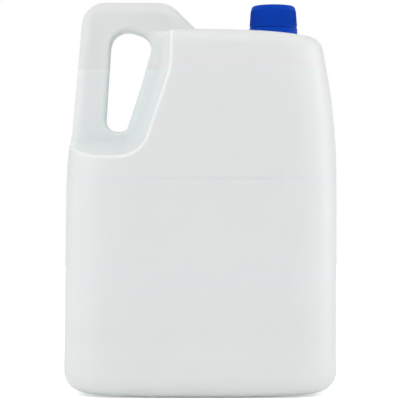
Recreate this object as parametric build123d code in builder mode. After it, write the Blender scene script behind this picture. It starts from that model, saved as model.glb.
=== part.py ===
from build123d import *
from math import asin, atan2, cos, degrees, sqrt, tan
import os

# Five litre water jug: blow-moulded body with a loop handle, its filling and a ribbed screw cap.
# Millimetres. X runs from the handle to the spout, Y from the front face to the back, Z up.
# The origin is at the middle of the base.

os.makedirs("parts", exist_ok=True)

# Body
full_width = 199.4
full_height = 287.5        # from the base to the top of the grip
body_depth = 130.0
crown_radius = 2150.0      # bulge of each broad face
spout_corner = 45.0        # radii of the upright corners
handle_corner = 45.0
shoulder_radius = 9.5
heel_radius = 15.0
spout_curve_drop = 131.5   # the spout side curves in from this far below the top
spout_curve_run = 11.8     # and this far in, at the deck
deck_drop = 23.3           # from the top of the grip to the crest of the deck
deck_crest_x = 0.0
deck_fall = 4.5            # from the crest to the spout side

# Handle side of the body, in front view
foot_lean = 2.1            # lean between the base and the knee
knee_drop = 127.5
knee_radius = 150.0
grip_lean = 11.1           # lean between the knee and the top of the grip

# Wall and filling
wall = 1.0
fill_drop = 49.9           # from the top of the grip to the level line
fill_clearance = 0.3

# Loop handle; places run from the handle side and down from the top
grip_depth = 34.0
grip_set_in = 0.8          # step from the tank's narrow side in to the grip
grip_edge = 8.0            # rounding of the grip's outer edges
grip_left_radius = 17.0
grip_right_radius = 20.0
grip_foot = 100.3          # where the grip's sloping end meets the deck
grip_root = 14.0           # how far that end runs on under the deck
grip_blend = 5.0           # radius where the grip runs into the tank
hole_corners = ((29.3, 95.1), (34.4, 16.2), (66.6, 26.4), (47.0, 95.1))
hole_radii = (9.0, 13.0, 12.0, 8.0)
hole_edge = 3.2            # rounding of the hole's rim

# Finger recess beside the handle, on both faces; places as for the handle
ridge_top = 77.5           # upright stretch of the ridge, below the deck
ridge_bend_drop = 49.5
ridge_low = 56.1           # low end of the slanted stretch
shelf_drop = 113.2         # level stretch under the handle
ridge_bend_radius = 60.0
ridge_low_radius = 21.0
recess_reach = (13.6, 16.0, 14.0)    # run of the recess wall: upright, slanted, level stretch
recess_start = 6.0         # depth inside the grip's face at which the recess wall starts
recess_power = 2.0         # how quickly the wall steepens towards the ridge
recess_steps = 5
ridge_round = 2.5

# Moulded ring lines
low_ring_height = 32.0
high_ring_gap = 17.3       # below the shelf
ring_width = 1.8
ring_depth = 0.3

# Base
foot_reach = 24.0          # the base is level this far to both sides of the middle
foot_rise = 3.8            # and curves up by this much at the narrow sides
foot_width = 10.0          # rim round the base panel
foot_corner = 18.0
push_up = 3.0              # rise of the panel inside that rim
push_up_slope = 45

# Neck
neck_inset = 45.5          # from the spout side to the neck's axis
neck_rise = 23.25          # from the deck's low end to the rim
neck_diameter = 27.4
neck_bore = 23.4
rim_edge = 0.6
bead_diameter = 31.0
bead_drop = 13.25          # from the rim to the underside of the bead that traps the band
bead_thickness = 1.6

# Tamper band
band_diameter = 35.4
band_height = 4.4
band_wall = 1.3
band_lip = 1.3             # how far the inward lip reaches in under the bead
band_lip_height = 1.4
bead_gap = 0.5             # bead to band
cap_gap = 0.3              # band to cap
bridge_count = 12
bridge_width = 1.0
bridge_height = 0.5

# Cap
cap_foot_diameter = 34.6
cap_top_diameter = 32.4
cap_top_thickness = 1.1
cap_edge = 3.2
cap_crown = 1.4            # rise of the domed top
cap_bore = 30.2
bead_clearance = 0.4       # round the bead, in the wider mouth of the bore
cap_mouth_depth = 4.0
rib_count = 60
rib_width = 0.7
rib_height = 0.35
rib_base_gap = 0.8         # plain stretch below the ribs
rib_sink = 0.3             # how deep a rib's root lies in the skirt

# Liner
liner_thickness = 1.4
liner_diameter = 29.4
seat_gap = 0.1             # liner to rim, and liner to cap

# Places that follow from these
reach_out = 40.0           # how far the cutting shapes run past the body
cut_margin = 0.3           # by which a cutting shape clears a face that it only has to reach
level_span = 1.0           # an edge that rises less than this counts as level
half_width = full_width / 2
knee_height = full_height - knee_drop
spout_curve_height = full_height - spout_curve_drop
deck_height = full_height - deck_drop
deck_end_height = deck_height - deck_fall
fill_height = full_height - fill_drop
shelf_height = full_height - shelf_drop
bend_height = full_height - ridge_bend_drop
ring_heights = (low_ring_height, shelf_height - high_ring_gap)
knee_x = foot_lean - half_width
ridge_top_x = ridge_top - half_width
ridge_low_x = ridge_low - half_width
lean_line = ((knee_x, knee_height), (knee_x + grip_lean, full_height))
neck_x = half_width - neck_inset
neck_axis = Axis((neck_x, 0, 0), (0, 0, 1))
rim_height = deck_end_height + neck_rise
bead_height = rim_height - bead_drop
band_top = bead_height - bead_gap
band_base = band_top - band_height
band_radius = band_diameter / 2
band_bore = band_radius - band_wall
cap_base = band_top + bridge_height + cap_gap
liner_base = rim_height + seat_gap
cap_ceiling = liner_base + liner_thickness + seat_gap
cap_shoulder = cap_ceiling + cap_top_thickness
cap_top = cap_shoulder + cap_crown
cap_mouth_bore = bead_diameter + 2 * bead_clearance


def line_x(line, height):
    """X of a slanting line at a given height."""
    (low_x, low_z), (high_x, high_z) = line
    return low_x + (high_x - low_x) * (height - low_z) / (high_z - low_z)


def corner_of(shape, point):
    """Corner of a flat outline that lies nearest to a point."""
    return shape.vertices().sort_by_distance(Vector(*point))[0]


def recess_corners(inset, reach):
    """Corners of the finger recess, with its wall set back from the ridge by three reaches."""
    upright, slanted, level = (distance - inset for distance in reach)
    turn = atan2(ridge_top_x - ridge_low_x, bend_height - shelf_height)
    top_x = ridge_top_x - upright
    slant_x = ridge_low_x - slanted / cos(turn)
    low_x = slant_x + level * tan(turn)
    shelf = shelf_height + level
    bend = shelf_height + (top_x - slant_x) / tan(turn)
    far_x = -half_width - reach_out
    far_z = full_height + reach_out
    return (far_x, shelf), (low_x, shelf), (top_x, bend), (top_x, far_z), (far_x, far_z)


def recess_outline(plane, inset, reach):
    """Outline of the finger recess on a plane, with its two bends rounded."""
    corners = recess_corners(inset, reach)
    run = sum(reach) / len(reach) - inset
    with BuildSketch(plane) as outline:
        with BuildLine():
            Polyline(*corners, close=True)
        make_face()
        fillet(corner_of(outline, corners[1]), ridge_low_radius - run)
        fillet(corner_of(outline, corners[2]), ridge_bend_radius + run)
    return outline.sketch


def recess_cutter(inset):
    """Shape that hollows the front face beside the handle, widening towards the face."""
    start = grip_depth / 2 - recess_start - inset
    end = body_depth / 2 + cut_margin
    with BuildPart() as cutter:
        for step in range(recess_steps):
            run = step / (recess_steps - 1)
            reach = tuple(distance * (1 - run) + cut_margin for distance in recess_reach)
            level = start + run**recess_power * (end - start)
            add(recess_outline(Plane.XZ.offset(level), inset, reach))
        loft()
    return cutter.part


def side_outline(plane, inset):
    """Front view of the tank's sides, run up past the deck."""
    side_x = half_width - inset
    rise = deck_end_height - spout_curve_height
    radius = (rise**2 + spout_curve_run**2) / (2 * spout_curve_run) - inset
    turn = degrees(asin((full_height - spout_curve_height) / radius))
    knee = (knee_x + inset, knee_height)
    lean_end = (line_x(lean_line, full_height) + inset, full_height)
    with BuildSketch(plane) as outline:
        with BuildLine():
            curve = CenterArc((side_x - radius, spout_curve_height), radius, 0, turn)
            Polyline(curve @ 1, lean_end, knee, (-side_x, foot_rise + inset))
            TangentArc((-foot_reach, inset), (-side_x, foot_rise + inset), tangent=(-1, 0))
            Line((-foot_reach, inset), (foot_reach, inset))
            TangentArc((foot_reach, inset), (side_x, foot_rise + inset), tangent=(1, 0))
            Line((side_x, foot_rise + inset), curve @ 0)
        make_face()
        fillet(corner_of(outline, knee), knee_radius)
    return outline.sketch


def deck_outline(plane, inset):
    """Front view of the space over the deck and in the recess, which the tank leaves free."""
    far_x = half_width + reach_out
    run = far_x - deck_crest_x
    fall = deck_fall * (run / (half_width - spout_curve_run - deck_crest_x)) ** 2
    deck = deck_height - inset
    with BuildSketch(plane) as outline:
        with BuildLine():
            arc = ThreePointArc(
                (deck_crest_x - run, deck - fall), (deck_crest_x, deck), (far_x, deck - fall)
            )
            top = full_height + reach_out
            Polyline(arc @ 1, (far_x, top), (deck_crest_x - run, top), arc @ 0)
        make_face()
        with BuildLine():
            Polyline(*recess_corners(inset, recess_reach), close=True)
        make_face()
    return outline.sketch


def upright_edges(tank, half, side):
    """Edges up one side of the tank, between its broad faces and its narrow side."""
    return [
        edge for edge in tank.edges()
        if side * edge.center().X > half_width - spout_corner
        and abs(edge.center().Y) > half - heel_radius
        and abs((edge @ 0).Z - (edge @ 1).Z) > level_span
        and abs((edge @ 0).X - (edge @ 1).X) < spout_corner
    ]


def tank_form(inset):
    """The tank with crowned faces, round corners and the recess on both faces."""
    half = body_depth / 2 - inset
    span = half_width + reach_out
    crown = crown_radius - sqrt(crown_radius**2 - span**2)
    with BuildPart() as tank:
        extrude(side_outline(Plane.XZ.offset(half), inset), amount=2 * half, dir=(0, 1, 0))
        with BuildSketch() as plan:
            with BuildLine():
                front = ThreePointArc((-span, crown - half), (0, -half), (span, crown - half))
                back = ThreePointArc((span, half - crown), (0, half), (-span, half - crown))
                Line(front @ 1, back @ 0)
                Line(back @ 1, front @ 0)
            make_face()
        extrude(amount=full_height, mode=Mode.INTERSECT)

        fillet(upright_edges(tank, half, 1), spout_corner - inset)
        fillet(upright_edges(tank, half, -1), handle_corner - inset)
        clear = deck_outline(Plane.XZ.offset(half), inset)
        extrude(clear, amount=2 * half, dir=(0, 1, 0), mode=Mode.SUBTRACT)
        deck = tank.faces().sort_by(Axis.Z)[-1]
        deck_edges = deck.edges().filter_by(lambda edge: edge.center().X > ridge_top_x)
        fillet(deck_edges, shoulder_radius - inset)
        foot_edge = tank.edges().sort_by_distance(Vector(0, -half, inset))[0]
        fillet(foot_edge, heel_radius - inset)

        cutter = recess_cutter(inset)
        add(cutter, mode=Mode.SUBTRACT)
        add(cutter.mirror(Plane.XZ), mode=Mode.SUBTRACT)
        slant_middle = ((ridge_low_x + ridge_top_x) / 2, (shelf_height + bend_height) / 2)
        ridges = [
            tank.edges().sort_by_distance(Vector(slant_middle[0], y, slant_middle[1]))[0]
            for y in (-half, half)
        ]
        fillet(ridges, ridge_round - inset / 2)
    return tank.part


def grip_outline(plane, inset):
    """Front view of the loop handle, run on into the tank at both ends."""
    top = full_height - inset
    foot_x = grip_foot - half_width - sqrt(2) * inset
    root_x = foot_x + grip_root
    corners = (
        (line_x(lean_line, shelf_height) + grip_set_in + inset, shelf_height),
        (line_x(lean_line, top) + grip_set_in + inset, top),
        (foot_x - (top - deck_height), top),
        (root_x, deck_height - grip_root),
        (root_x, bend_height),
        (ridge_top_x - grip_root, shelf_height),
    )
    with BuildSketch(plane) as outline:
        with BuildLine():
            Polyline(*corners, close=True)
        make_face()
        fillet(corner_of(outline, corners[1]), grip_left_radius - inset)
        fillet(corner_of(outline, corners[2]), grip_right_radius - inset)
    return outline.sketch


def hole_outline(plane, inset):
    """Front view of the hand hole, grown by the inset."""
    corners = [(x - half_width, full_height - drop) for x, drop in hole_corners]
    with BuildSketch(plane) as outline:
        with BuildLine():
            Polyline(*corners, close=True)
        make_face()
        if inset:
            offset(amount=inset, kind=Kind.INTERSECTION)
        for corner, radius in zip(corners, hole_radii):
            fillet(corner_of(outline, corner), radius + inset)
    return outline.sketch


def grip_form(inset):
    """The loop handle: a slab with round edges and the hand hole through it."""
    half = grip_depth / 2 - inset
    plane = Plane.XZ.offset(half)
    with BuildPart() as grip:
        extrude(grip_outline(plane, inset), amount=2 * half, dir=(0, 1, 0))
        faces = grip.faces().filter_by(Axis.Y)
        fillet(faces.edges(), grip_edge - inset)
        extrude(hole_outline(plane, inset), amount=2 * half, dir=(0, 1, 0), mode=Mode.SUBTRACT)
        faces = grip.faces().filter_by(Axis.Y).sort_by(Axis.Y)
        rims = faces[0].inner_wires()[0].edges() + faces[-1].inner_wires()[0].edges()
        fillet(rims, hole_edge - inset)
    return grip.part


def jug_form(inset):
    """Tank and handle as one shape, set in from the outer surface by the inset."""
    tank = tank_form(inset)
    grip = grip_form(inset)
    half = grip_depth / 2 - inset
    with BuildPart() as form:
        add(tank)
        add(grip)
        arcs = form.edges().filter_by(GeomType.CIRCLE)
        seams = [
            arcs.sort_by_distance(Vector(ridge_top_x, y, deck_height - inset))[0]
            for y in (-half, half)
        ]
        fillet(seams, grip_blend + inset)
        rim_run = heel_radius + foot_width - inset
        with BuildSketch(Plane.XY.offset(inset)):
            RectangleRounded(full_width - 2 * rim_run, body_depth - 2 * rim_run, foot_corner)
        extrude(amount=push_up, taper=push_up_slope, mode=Mode.SUBTRACT)
    return form.part


def ring_section(low, high, outer_radius, inner_radius):
    """Section of a ring about the neck, in the plane of its axis."""
    with BuildSketch(Plane.XZ) as section:
        with Locations((neck_x + (outer_radius + inner_radius) / 2, (low + high) / 2)):
            Rectangle(outer_radius - inner_radius, high - low)
    return section.sketch


outer_form = jug_form(0)
inner_form = jug_form(wall)
filling_form = jug_form(wall + fill_clearance)
groove_floor = tank_form(ring_depth)

with BuildPart() as ring_lines:
    with Locations(*[(0, 0, height) for height in ring_heights]):
        Box(full_width + reach_out, body_depth + reach_out, ring_width)
    add(outer_form, mode=Mode.INTERSECT)
    add(groove_floor, mode=Mode.SUBTRACT)

with BuildPart() as jug_body:
    add(outer_form)
    add(ring_lines.part, mode=Mode.SUBTRACT)
    with BuildSketch(Plane.XY.offset(deck_end_height)):
        with Locations((neck_x, 0)):
            Circle(neck_diameter / 2)
    extrude(amount=neck_rise)
    with BuildSketch(Plane.XZ):
        with BuildLine():
            Polyline(
                (neck_x, bead_height),
                (neck_x + bead_diameter / 2, bead_height),
                (neck_x + bead_diameter / 2, bead_height + bead_thickness / 2),
                (neck_x + neck_diameter / 2, bead_height + 2 * bead_thickness),
                (neck_x, bead_height + 2 * bead_thickness),
                close=True,
            )
        make_face()
    revolve(axis=neck_axis)
    add(inner_form, mode=Mode.SUBTRACT)
    with BuildSketch(Plane.XY.offset(deck_end_height - shoulder_radius)):
        with Locations((neck_x, 0)):
            Circle(neck_bore / 2)
    extrude(amount=full_height, mode=Mode.SUBTRACT)
    rim = jug_body.faces().filter_by(Axis.Z).sort_by_distance(Vector(neck_x, 0, rim_height))[0]
    fillet(rim.edges(), rim_edge)

with BuildPart() as distilled_water:
    add(filling_form)
    with Locations((0, 0, fill_height + full_height / 2)):
        Box(full_width + reach_out, body_depth + reach_out, full_height, mode=Mode.SUBTRACT)

with BuildPart() as tamper_band:
    with BuildSketch(Plane.XZ):
        add(ring_section(band_base, band_top, band_radius, band_bore))
        add(ring_section(band_top - band_lip_height, band_top, band_radius, band_bore - band_lip))
    revolve(axis=neck_axis)
    with BuildSketch(Plane.XY.offset(band_top)):
        with Locations((neck_x, 0)):
            with PolarLocations(band_radius - band_wall / 2, bridge_count):
                Rectangle(band_wall / 2, bridge_width)
    extrude(amount=bridge_height)

with BuildPart() as seal_liner:
    with BuildSketch(Plane.XY.offset(liner_base)):
        with Locations((neck_x, 0)):
            Circle(liner_diameter / 2)
    extrude(amount=liner_thickness)

foot_radius = cap_foot_diameter / 2
top_radius = cap_top_diameter / 2
cap_side = ((foot_radius, cap_base), (top_radius, cap_shoulder))
rib_low = cap_base + rib_base_gap
rib_high = cap_shoulder - cap_edge

with BuildPart() as rib:
    with BuildSketch(Plane.XZ):
        with BuildLine():
            Polyline(
                (line_x(cap_side, rib_low) - rib_sink, rib_low),
                (line_x(cap_side, rib_low) + rib_height, rib_low + rib_height),
                (line_x(cap_side, rib_high) + rib_height, rib_high - rib_height),
                (line_x(cap_side, rib_high) - rib_sink, rib_high),
                close=True,
            )
        make_face()
    extrude(amount=rib_width / 2, both=True)

with BuildPart() as cap:
    with BuildSketch(Plane.XZ.move(Location((neck_x, 0, 0)))) as section:
        with BuildLine():
            rise = ThreePointArc(
                (0, cap_top),
                (top_radius / 2, cap_top - cap_crown / 4),
                (top_radius, cap_shoulder),
            )
            Polyline(
                rise @ 1,
                (foot_radius, cap_base),
                (cap_mouth_bore / 2, cap_base),
                (cap_mouth_bore / 2, cap_base + cap_mouth_depth),
                (cap_bore / 2, cap_base + cap_mouth_depth + (cap_mouth_bore - cap_bore) / 2),
                (cap_bore / 2, cap_ceiling),
                (0, cap_ceiling),
                (0, cap_top),
            )
        make_face()
        fillet(corner_of(section, (top_radius, cap_shoulder)), cap_edge)
    revolve(axis=neck_axis)
    with Locations((neck_x, 0)):
        with PolarLocations(0, rib_count):
            add(rib.part)

jug_body.part.label = "jug_body"
distilled_water.part.label = "distilled_water"
tamper_band.part.label = "tamper_band"
seal_liner.part.label = "seal_liner"
cap.part.label = "cap"

export_step(jug_body.part, "parts/jug_body.step")
export_step(distilled_water.part, "parts/distilled_water.step")
export_step(tamper_band.part, "parts/tamper_band.step")
export_step(seal_liner.part, "parts/seal_liner.step")
export_step(cap.part, "parts/cap.step")
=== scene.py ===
from math import cos, pi, sin

import bpy
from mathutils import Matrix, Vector


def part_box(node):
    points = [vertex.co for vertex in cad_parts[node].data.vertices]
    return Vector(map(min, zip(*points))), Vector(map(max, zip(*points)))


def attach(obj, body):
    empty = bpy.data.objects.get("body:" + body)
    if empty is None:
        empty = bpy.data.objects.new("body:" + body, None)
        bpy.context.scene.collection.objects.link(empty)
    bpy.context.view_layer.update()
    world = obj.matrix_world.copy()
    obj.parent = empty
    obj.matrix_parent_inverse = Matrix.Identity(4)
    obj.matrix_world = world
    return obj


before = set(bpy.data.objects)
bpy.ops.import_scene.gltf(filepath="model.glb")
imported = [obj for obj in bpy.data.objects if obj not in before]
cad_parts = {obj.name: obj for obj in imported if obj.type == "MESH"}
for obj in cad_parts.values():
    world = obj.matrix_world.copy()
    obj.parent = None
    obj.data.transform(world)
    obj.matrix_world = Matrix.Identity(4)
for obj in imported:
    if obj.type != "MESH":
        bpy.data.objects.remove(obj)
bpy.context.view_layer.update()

# Lengths are in metres. X runs from the handle to the spout, Y from front to back, Z up.

# Camera: level with the middle of the jug, as far off as the photograph's was
IMAGE_WIDTH = 400
METRES_PER_PIXEL = 0.00074       # in the jug's middle plane
CAMERA_DISTANCE = 1.68
CAMERA_HEIGHT = 0.12
AIM_HEIGHT = 0.1424
AIM_SIDE = -0.00011
SENSOR = 36.0                    # millimetres

# Ring lines and recess, where less of the light scatters in the wall than elsewhere, which lightens them: painted
# light
RING_LEVELS = (0.032, 0.157)
RING_HALF = 0.0011
RING_SCATTER = (0.50, 0.835)     # share of the light that still scatters in each ring line
SLOPE_SCATTER = 0.87             # and on the slope of the recess
SLOPE_SIDES = ((-0.062, -0.050), (-0.012, -0.018))
SLOPE_LEVELS = ((0.178, 0.190), (0.2660, 0.2620))
SLOPE_DEPTH = (0.060, 0.052)     # to the front and to the back of the middle plane

# Tones of the body, with painted shade and a painted highlight: below the water its own tone, greyer towards the
# foot as painted shade; above the water painted shade, darker in the handle and above the deck; and a thin painted
# highlight along the water level in the handle
BELOW_WATER_TONE = (0.868, 0.988, 0.982)
FOOT_SHADE = (0.825, 0.885, 0.867)
TANK_SHADE_ABOVE_WATER = (0.89, 0.945, 0.93)
HANDLE_SHADE_ABOVE_WATER = (0.79, 0.83, 0.81)
LEVEL_HIGHLIGHT = (0.895, 0.975, 0.965)

# Where one tone runs into the next
WATER_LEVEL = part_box("distilled_water")[1].z
LEVEL_BLUR = 0.0008              # to both sides of the water level
LEVEL_LINE = 0.0005              # half width of the line on the handle
FOOT_EDGE = (0.035, 0.125)
HANDLE_EDGE = (0.030, 0.040)     # from the jug's middle towards the handle
DECK_EDGE = (0.2650, 0.2665)

# Thread on the neck
NECK_X = 0.0542
THREAD_ROOT = 0.0136             # radii
THREAD_CREST = 0.01475
THREAD_FLANK = 0.0008            # half height of the section at its root
THREAD_FLAT = 0.0003             # and at its crest
THREAD_PITCH = 0.0036
THREAD_BASE = 0.2743
THREAD_TURNS = 1.6
THREAD_FADE = 0.12               # part of a turn over which an end runs out
THREAD_END = 0.05                # share of the thread's depth that is left at its very end
THREAD_STEPS = 72                # in a turn

# Skirt behind the gap under the cap
SEAM_RADII = (0.01605, 0.01655)
SEAM_LEVELS = (0.26932, 0.27005)
SEAM_STEPS = 96

CORNERS = 4                      # of the thread's and the skirt's section
SHARP_ANGLE = 0.5                # edges that turn by more than this stay sharp

# Stage
FLOOR_SIZE = 12.0
FLOOR_DROP = 0.0002
FLOOR_GREY = 0.9
FLOOR_BASE_GLOW = 0.08           # what the floor gives off everywhere
FLOOR_GLOW = 0.35                # and what it adds where it is seen
FRONT_LIGHT = 1.19               # the world in front of the jug
BACK_LIGHT = 0.58                # and behind it
LIGHT_TURN = (-0.3, 0.9)         # between these directions along Y the one runs into the other

# Lamps: name, place, aim, width, height, watts
LAMPS = (
    ("left_fill", (-1.4, -0.45, 0.2), (0.0, 0.0, 0.2), 0.8, 0.8, 2.0),
    ("right_fill", (1.4, -0.45, 0.2), (0.0, 0.0, 0.2), 0.8, 0.8, 0.9),
    ("left_strip", (-1.2, 0.35, 0.25), (0.0, 0.0, 0.15), 0.35, 1.0, 1.3),
    ("right_strip", (1.2, 0.35, 0.25), (0.0, 0.0, 0.15), 0.35, 1.0, 2.75),
    ("top_light", (0.0, -0.8, 0.85), (0.0, 0.0, 0.15), 1.0, 0.6, 1.0),
)


def new_material(name):
    """An empty material, with its tree and its Principled shader."""
    material = bpy.data.materials.new(name)
    material.use_nodes = True
    tree = material.node_tree
    return material, tree, tree.nodes["Principled BSDF"]


def set_inputs(node, values):
    """Sets a node's inputs from a table of names and values."""
    for name, value in values.items():
        node.inputs[name].default_value = value


def split_place(tree, kind):
    """Sockets for X, Y and Z of one kind of texture coordinate."""
    where = tree.nodes.new("ShaderNodeTexCoord")
    split = tree.nodes.new("ShaderNodeSeparateXYZ")
    tree.links.new(where.outputs[kind], split.inputs[0])
    return split.outputs["X"], split.outputs["Y"], split.outputs["Z"]


def math_node(tree, operation, *values):
    """A Math node; each value is a socket or a number."""
    node = tree.nodes.new("ShaderNodeMath")
    node.operation = operation
    for socket, value in zip(node.inputs, values):
        if isinstance(value, bpy.types.NodeSocket):
            tree.links.new(value, socket)
        else:
            socket.default_value = value
    return node.outputs[0]


def seen_directly(tree):
    """A socket that is 1 on rays that show the backdrop, from the camera or through glass."""
    path = tree.nodes.new("ShaderNodeLightPath")
    return math_node(tree, "MAXIMUM", path.outputs["Is Camera Ray"], path.outputs["Is Transmission Ray"])


def smooth_step(tree, value, low, high):
    """A socket that runs smoothly from 0 at low to 1 at high, whichever of the two is the larger."""
    node = tree.nodes.new("ShaderNodeMapRange")
    node.interpolation_type = "SMOOTHSTEP"
    set_inputs(node, {"From Min": low, "From Max": high})
    tree.links.new(value, node.inputs["Value"])
    return node.outputs[0]


def mix_colours(tree, factor, first, second):
    """A mix of two colours; each is a socket or three numbers."""
    node = tree.nodes.new("ShaderNodeMix")
    node.data_type = "RGBA"
    tree.links.new(factor, node.inputs[0])
    for socket, colour in ((node.inputs[6], first), (node.inputs[7], second)):
        if isinstance(colour, bpy.types.NodeSocket):
            tree.links.new(colour, socket)
        else:
            socket.default_value = (*colour, 1.0)
    return node.outputs[2]


def scatter_share(tree, place_x, place_y, place_z):
    """The share of the light that scatters in the wall: 1, but less in the ring lines and on the recess's slope,
    which lightens them as painted light.
    """
    rings = [
        math_node(tree, "MULTIPLY", math_node(tree, "COMPARE", place_z, level, RING_HALF), 1.0 - share)
        for level, share in zip(RING_LEVELS, RING_SCATTER)
    ]
    slope = smooth_step(tree, math_node(tree, "ABSOLUTE", place_y), *SLOPE_DEPTH)
    for place, edges in ((place_x, SLOPE_SIDES), (place_z, SLOPE_LEVELS)):
        for edge in edges:
            slope = math_node(tree, "MULTIPLY", slope, smooth_step(tree, place, *edge))
    lost = math_node(tree, "MULTIPLY_ADD", slope, 1.0 - SLOPE_SCATTER, math_node(tree, "ADD", *rings))
    return math_node(tree, "SUBTRACT", 1.0, lost)


def body_tone_and_shade(tree, place_x, place_z):
    """The body's base colour: greyer towards the foot as painted shade, painted shade above the water, darker in
    the handle and the neck, and a painted highlight line along the water level in the handle.
    """
    by_handle = smooth_step(tree, math_node(tree, "MULTIPLY", place_x, -1.0), *HANDLE_EDGE)
    over_deck = smooth_step(tree, place_z, *DECK_EDGE)
    # painted shade above the water, darker in the handle and above the deck
    shade_above_water = mix_colours(tree, math_node(tree, "MAXIMUM", by_handle, over_deck), TANK_SHADE_ABOVE_WATER, HANDLE_SHADE_ABOVE_WATER)
    # below the water the body's own tone, greyer towards the foot as painted shade
    tone_below_water = mix_colours(tree, smooth_step(tree, place_z, *FOOT_EDGE), FOOT_SHADE, BELOW_WATER_TONE)
    dry = smooth_step(tree, place_z, WATER_LEVEL - LEVEL_BLUR, WATER_LEVEL + LEVEL_BLUR)
    # a thin painted highlight along the water level, in the handle only
    at_level = math_node(tree, "COMPARE", place_z, WATER_LEVEL, LEVEL_LINE)
    line = math_node(tree, "MULTIPLY", at_level, by_handle)
    return mix_colours(tree, line, mix_colours(tree, dry, tone_below_water, shade_above_water), LEVEL_HIGHLIGHT)


def polyethylene():
    """Milky polyethylene with a satin skin."""
    material, tree, shader = new_material("milky_polyethylene")
    set_inputs(shader, {
        "Roughness": 0.38,
        "IOR": 1.5,
        "Subsurface Radius": (1.0, 1.0, 1.0),
        "Subsurface Scale": 0.0035,
        "Transmission Weight": 0.12,
    })
    place_x, place_y, place_z = split_place(tree, "Object")
    tree.links.new(scatter_share(tree, place_x, place_y, place_z), shader.inputs["Subsurface Weight"])
    # the base colour carries painted shade and a painted highlight
    tree.links.new(body_tone_and_shade(tree, place_x, place_z), shader.inputs["Base Color"])
    return material


def water():
    """Clear water."""
    material, _, shader = new_material("clear_water")
    set_inputs(shader, {
        "Base Color": (0.93, 0.96, 0.97, 1.0),
        "Roughness": 0.05,
        "IOR": 1.33,
        "Transmission Weight": 1.0,
    })
    return material


def blue_polypropylene():
    """Moulded blue plastic with a soft gloss."""
    material, _, shader = new_material("blue_plastic")
    set_inputs(shader, {
        "Base Color": (0.0015, 0.044, 0.375, 1.0),
        "Roughness": 0.4,
        "IOR": 1.49,
        "Specular IOR Level": 0.04,
    })
    return material


def foam():
    """White closed-cell foam."""
    material, _, shader = new_material("white_foam")
    set_inputs(shader, {"Base Color": (0.85, 0.85, 0.83, 1.0), "Roughness": 0.8})
    return material


def dress(node, material):
    """Gives a CAD node its material."""
    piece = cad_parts[node]
    piece.data.materials.clear()
    piece.data.materials.append(material)


def add_mesh(name, vertices, faces, material, body):
    """A scene piece that rides on a CAD body, shaded smooth but for its sharp edges."""
    mesh = bpy.data.meshes.new(name)
    mesh.from_pydata(vertices, [], faces)
    mesh.materials.append(material)
    mesh.shade_smooth()
    mesh.set_sharp_from_angle(angle=SHARP_ANGLE)
    piece = bpy.data.objects.new(name, mesh)
    bpy.context.scene.collection.objects.link(piece)
    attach(piece, body)


def round_neck(turns, section, rise=0.0):
    """The corners of a section of radii and levels, at an angle round the neck's axis."""
    angle = 2 * pi * turns
    return [(NECK_X + radius * cos(angle), radius * sin(angle), rise + level) for radius, level in section]


def side_faces(first, second):
    """The faces between two sections, given the number of each one's first corner."""
    nexts = [(corner + 1) % CORNERS for corner in range(CORNERS)]
    return [(first + i, second + i, second + j, first + j) for i, j in enumerate(nexts)]


def neck_thread(material):
    """The right-hand thread on the neck, with ends that run out."""
    steps = round(THREAD_TURNS * THREAD_STEPS)
    vertices, faces = [], []
    for step in range(steps + 1):
        turns = step / THREAD_STEPS
        fade = min(1.0, turns / THREAD_FADE, (THREAD_TURNS - turns) / THREAD_FADE)
        crest = THREAD_ROOT + (THREAD_CREST - THREAD_ROOT) * max(fade, THREAD_END)
        section = (
            (THREAD_ROOT, -THREAD_FLANK),
            (crest, -THREAD_FLAT),
            (crest, THREAD_FLAT),
            (THREAD_ROOT, THREAD_FLANK),
        )
        vertices += round_neck(turns, section, THREAD_BASE + THREAD_PITCH * turns)
        if step:
            faces += side_faces(CORNERS * (step - 1), CORNERS * step)
    start = tuple(range(CORNERS))
    faces += [start, tuple(CORNERS * steps + corner for corner in reversed(start))]
    add_mesh("neck_thread", vertices, faces, material, "jug")


def cap_seam(material):
    """The short skirt behind the gap between cap and band."""
    (inner, outer), (foot, top) = SEAM_RADII, SEAM_LEVELS
    section = ((inner, foot), (outer, foot), (outer, top), (inner, top))
    vertices, faces = [], []
    for step in range(SEAM_STEPS):
        vertices += round_neck(step / SEAM_STEPS, section)
        faces += side_faces(CORNERS * step, CORNERS * ((step + 1) % SEAM_STEPS))
    add_mesh("cap_seam", vertices, faces, material, "closure")


def turn_to(thing, aim):
    """Turns a camera or a lamp towards a place."""
    thing.rotation_euler = (Vector(aim) - thing.location).to_track_quat("-Z", "Y").to_euler()


def make_camera():
    """The photograph's camera, in front of the jug's front face."""
    data = bpy.data.cameras.new("camera")
    data.sensor_width = SENSOR
    data.lens = SENSOR * CAMERA_DISTANCE / (IMAGE_WIDTH * METRES_PER_PIXEL)
    camera = bpy.data.objects.new("camera", data)
    camera.location = (AIM_SIDE, -CAMERA_DISTANCE, CAMERA_HEIGHT)
    turn_to(camera, (AIM_SIDE, 0.0, AIM_HEIGHT))
    bpy.context.scene.collection.objects.link(camera)
    bpy.context.scene.camera = camera


def soft_box(name, place, aim, width, height, watts):
    """A rectangular soft light that points at a place."""
    data = bpy.data.lights.new(name, "AREA")
    data.shape = "RECTANGLE"
    data.size = width
    data.size_y = height
    data.energy = watts
    lamp = bpy.data.objects.new(name, data)
    lamp.location = place
    turn_to(lamp, aim)
    bpy.context.scene.collection.objects.link(lamp)


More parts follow.
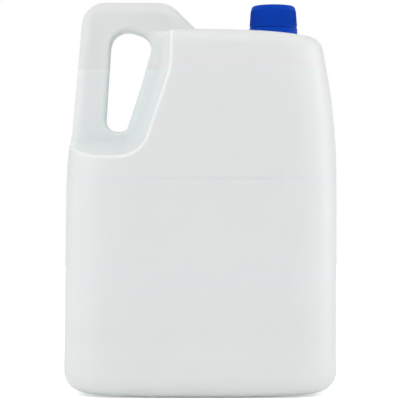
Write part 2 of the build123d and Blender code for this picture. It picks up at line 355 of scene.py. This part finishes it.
def make_world():
    """White where it is seen, and a plain soft light elsewhere."""
    world = bpy.data.worlds.new("studio")
    world.use_nodes = True
    bpy.context.scene.world = world
    tree = world.node_tree
    background = tree.nodes["Background"]
    background.inputs["Color"].default_value = (1.0, 1.0, 1.0, 1.0)
    _, along_y, _ = split_place(tree, "Generated")
    soft = tree.nodes.new("ShaderNodeMapRange")
    soft.interpolation_type = "SMOOTHSTEP"
    set_inputs(soft, {
        "From Min": LIGHT_TURN[0],
        "From Max": LIGHT_TURN[1],
        "To Min": FRONT_LIGHT,
        "To Max": BACK_LIGHT,
    })
    tree.links.new(along_y, soft.inputs["Value"])
    strength = tree.nodes.new("ShaderNodeMapRange")
    strength.inputs["To Max"].default_value = 1.0
    tree.links.new(soft.outputs[0], strength.inputs["To Min"])
    tree.links.new(seen_directly(tree), strength.inputs["Value"])
    tree.links.new(strength.outputs[0], background.inputs["Strength"])


def make_floor():
    """A pale floor that shows white and keeps the jug's shadow."""
    half = FLOOR_SIZE / 2
    corners = [(x, y, -FLOOR_DROP) for x, y in ((-half, -half), (half, -half), (half, half), (-half, half))]
    mesh = bpy.data.meshes.new("floor")
    mesh.from_pydata(corners, [], [(0, 1, 2, 3)])
    floor = bpy.data.objects.new("floor", mesh)
    bpy.context.scene.collection.objects.link(floor)
    material, tree, shader = new_material("floor")
    set_inputs(shader, {
        "Base Color": (FLOOR_GREY, FLOOR_GREY, FLOOR_GREY, 1.0),
        "Roughness": 0.9,
        "Specular IOR Level": 0.0,
        "Emission Color": (1.0, 1.0, 1.0, 1.0),
    })
    glow = tree.nodes.new("ShaderNodeMapRange")
    set_inputs(glow, {"To Min": FLOOR_BASE_GLOW, "To Max": FLOOR_BASE_GLOW + FLOOR_GLOW})
    tree.links.new(seen_directly(tree), glow.inputs["Value"])
    tree.links.new(glow.outputs[0], shader.inputs["Emission Strength"])
    mesh.materials.append(material)


make_camera()
make_world()
make_floor()
for lamp in LAMPS:
    soft_box(*lamp)

blue = blue_polypropylene()
milky = polyethylene()
dress("jug_body", milky)
dress("distilled_water", water())
dress("tamper_band", blue)
dress("cap", blue)
dress("seal_liner", foam())
neck_thread(milky)
cap_seam(blue)

bpy.context.scene.view_settings.view_transform = "Standard"
